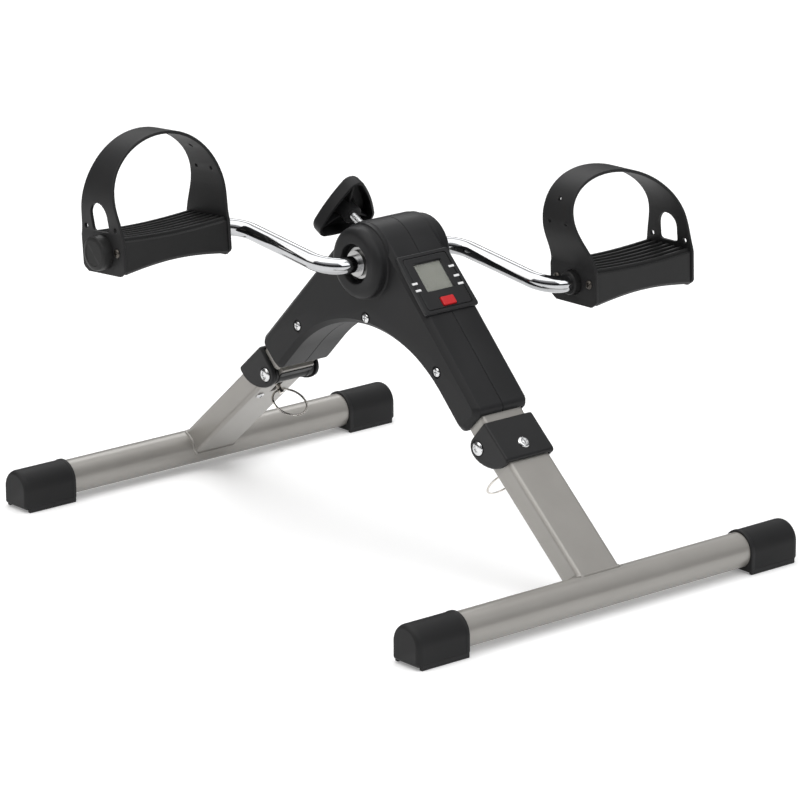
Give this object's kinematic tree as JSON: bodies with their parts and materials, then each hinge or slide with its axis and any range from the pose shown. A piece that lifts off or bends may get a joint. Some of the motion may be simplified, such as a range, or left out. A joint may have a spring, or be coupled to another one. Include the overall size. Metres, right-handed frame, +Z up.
{
  "type": "pedal exerciser",
  "caption": "Folding floor pedal exerciser: bent crank with strapped pedals in a V body, friction knob, small console, and fold-in legs on tube feet.",
  "frame": {"origin": "on the floor, midway between the two feet and midway along the crank", "axes": "+Z up; +X along the crank axis, to the right of the person who sits at the console side; -Y towards that person"},
  "size_m": [0.418, 0.5014, 0.3234],
  "materials": {
    "bracket_steel": "dark phosphate coat",
    "bright_wire": "bright nickel-plated wire",
    "cap_plastic": "grained soft plastic",
    "circuit_board": "green solder mask",
    "clear_window": "clear polished lens",
    "console_plastic": "satin moulded plastic",
    "cover_plastic": "satin moulded plastic",
    "crank_chrome": "mirror chrome plate",
    "dark_screw": "black oxide with a worn edge",
    "display_grey": "blank grey-green liquid crystal panel",
    "drum_iron": "turned iron",
    "fastener_steel": "bright nickel plate",
    "housing_plastic": "fine matt moulded texture",
    "knob_plastic": "fine matt moulding",
    "magnet": "magnet in a moulded clip",
    "pedal_plastic": "moulded plastic with sharp ribs",
    "red_plastic": "semi-gloss red moulding",
    "shoe_felt": "compressed leather and felt",
    "silver_paint": "smooth silver-grey enamel with a fine metallic flake",
    "strap_rubber": "smooth soft moulded strap",
    "white_print": "plain white pad-printed bars",
    "zinc_steel": "bright zinc plate"
  },
  "bodies": {
    "frame": {"housing_left": "housing_plastic", "housing_right": "housing_plastic", "frame_tube_front": "silver_paint", "frame_tube_rear": "silver_paint", "bearing_shell": "silver_paint", "bearing_left": "zinc_steel", "bearing_right": "zinc_steel", "tension_nut": "zinc_steel", "housing_screws_left": "fastener_steel", "housing_screws_right": "fastener_steel", "console_case": "console_plastic", "console_window": "clear_window", "console_display": "display_grey", "console_board": "circuit_board", "console_battery": "zinc_steel", "console_marks": "white_print", "speed_sensor": "console_plastic"},
    "button": {"reset_button": "red_plastic"},
    "crank": {"crank_rod": "crank_chrome", "brake_drum": "drum_iron", "crank_magnet": "magnet", "hub_washers": "zinc_steel", "pedal_retainers": "zinc_steel"},
    "shoe": {"brake_shoe": "shoe_felt"},
    "knob": {"tension_knob": "knob_plastic", "tension_bolt": "zinc_steel"},
    "pedal_left": {"pedal_body_left": "pedal_plastic", "pedal_strap_left": "strap_rubber", "strap_screws_left": "dark_screw", "pedal_cap_left": "knob_plastic", "pedal_bushes_left": "pedal_plastic"},
    "pedal_right": {"pedal_body_right": "pedal_plastic", "pedal_strap_right": "strap_rubber", "strap_screws_right": "dark_screw", "pedal_cap_right": "knob_plastic", "pedal_bushes_right": "pedal_plastic"},
    "leg_front": {"leg_tube_front": "silver_paint", "foot_tube_front": "silver_paint", "foot_cap_front_left": "cap_plastic", "foot_cap_front_right": "cap_plastic", "hinge_cover_front": "cover_plastic", "hinge_bracket_front": "bracket_steel", "hinge_bolt_front": "fastener_steel", "cover_screw_front": "fastener_steel", "latch_guide_front": "bracket_steel", "latch_screws_front": "fastener_steel"},
    "latch_front": {"latch_pin_front": "bright_wire"},
    "ring_front": {"pull_ring_front": "bright_wire"},
    "leg_rear": {"leg_tube_rear": "silver_paint", "foot_tube_rear": "silver_paint", "foot_cap_rear_left": "cap_plastic", "foot_cap_rear_right": "cap_plastic", "hinge_cover_rear": "cover_plastic", "hinge_bracket_rear": "bracket_steel", "hinge_bolt_rear": "fastener_steel", "cover_screw_rear": "fastener_steel", "latch_guide_rear": "bracket_steel", "latch_screws_rear": "fastener_steel"},
    "latch_rear": {"latch_pin_rear": "bright_wire"},
    "ring_rear": {"pull_ring_rear": "bright_wire"}
  },
  "joints": [
    {"name": "crank_turn", "type": "hinge", "parent": "frame", "child": "crank", "pos_m": [0, 0, 0.219], "axis": [1, 0, 0], "continuous": true},
    {"name": "pedal_left_spin", "type": "hinge", "parent": "crank", "child": "pedal_left", "pos_m": [-0.15, 0.09195, 0.23854], "axis": [1, 0, 0], "continuous": true},
    {"name": "pedal_right_spin", "type": "hinge", "parent": "crank", "child": "pedal_right", "pos_m": [0.15, -0.09195, 0.19946], "axis": [1, 0, 0], "continuous": true},
    {"name": "shoe_press", "type": "slide", "parent": "frame", "child": "shoe", "axis": [0, 0.8988, 0.4384], "range_m": [-0.00021, 0.00081]},
    {"name": "knob_turn", "type": "hinge", "parent": "shoe", "child": "knob", "pos_m": [0, 0.05393, 0.2453], "axis": [0, 0.8988, 0.4384], "range_deg": [-72, 288]},
    {"name": "button_press", "type": "slide", "parent": "frame", "child": "button", "axis": [0, -0.7133, 0.7009], "range_m": [-0.001, 0], "stiffness_N_per_m": 400, "springref_m": 0.0005},
    {"name": "leg_front_fold", "type": "hinge", "parent": "frame", "child": "leg_front", "pos_m": [0, -0.126, 0.102], "axis": [1, 0, 0], "range_deg": [0, 100]},
    {"name": "latch_front_pull", "type": "slide", "parent": "leg_front", "child": "latch_front", "axis": [0, -0.7547, -0.6561], "range_m": [-0.0025, 0.006], "stiffness_N_per_m": 300, "springref_m": -0.0025},
    {"name": "ring_front_swing", "type": "hinge", "parent": "latch_front", "child": "ring_front", "pos_m": [0, -0.13726, 0.08294], "axis": [-1, 0, 0], "range_deg": [-68, 67]},
    {"name": "leg_rear_fold", "type": "hinge", "parent": "frame", "child": "leg_rear", "pos_m": [0, 0.126, 0.102], "axis": [-1, 0, 0], "range_deg": [0, 100]},
    {"name": "latch_rear_pull", "type": "slide", "parent": "leg_rear", "child": "latch_rear", "axis": [0, 0.7547, -0.6561], "range_m": [-0.0025, 0.006], "stiffness_N_per_m": 300, "springref_m": -0.0025},
    {"name": "ring_rear_swing", "type": "hinge", "parent": "latch_rear", "child": "ring_rear", "pos_m": [0, 0.13726, 0.08294], "axis": [1, 0, 0], "range_deg": [-50, 85]}
  ],
  "couplings": [
    {"joint": "shoe_press", "follows": "knob_turn", "m_per_rad": 0.00015915}
  ]
}
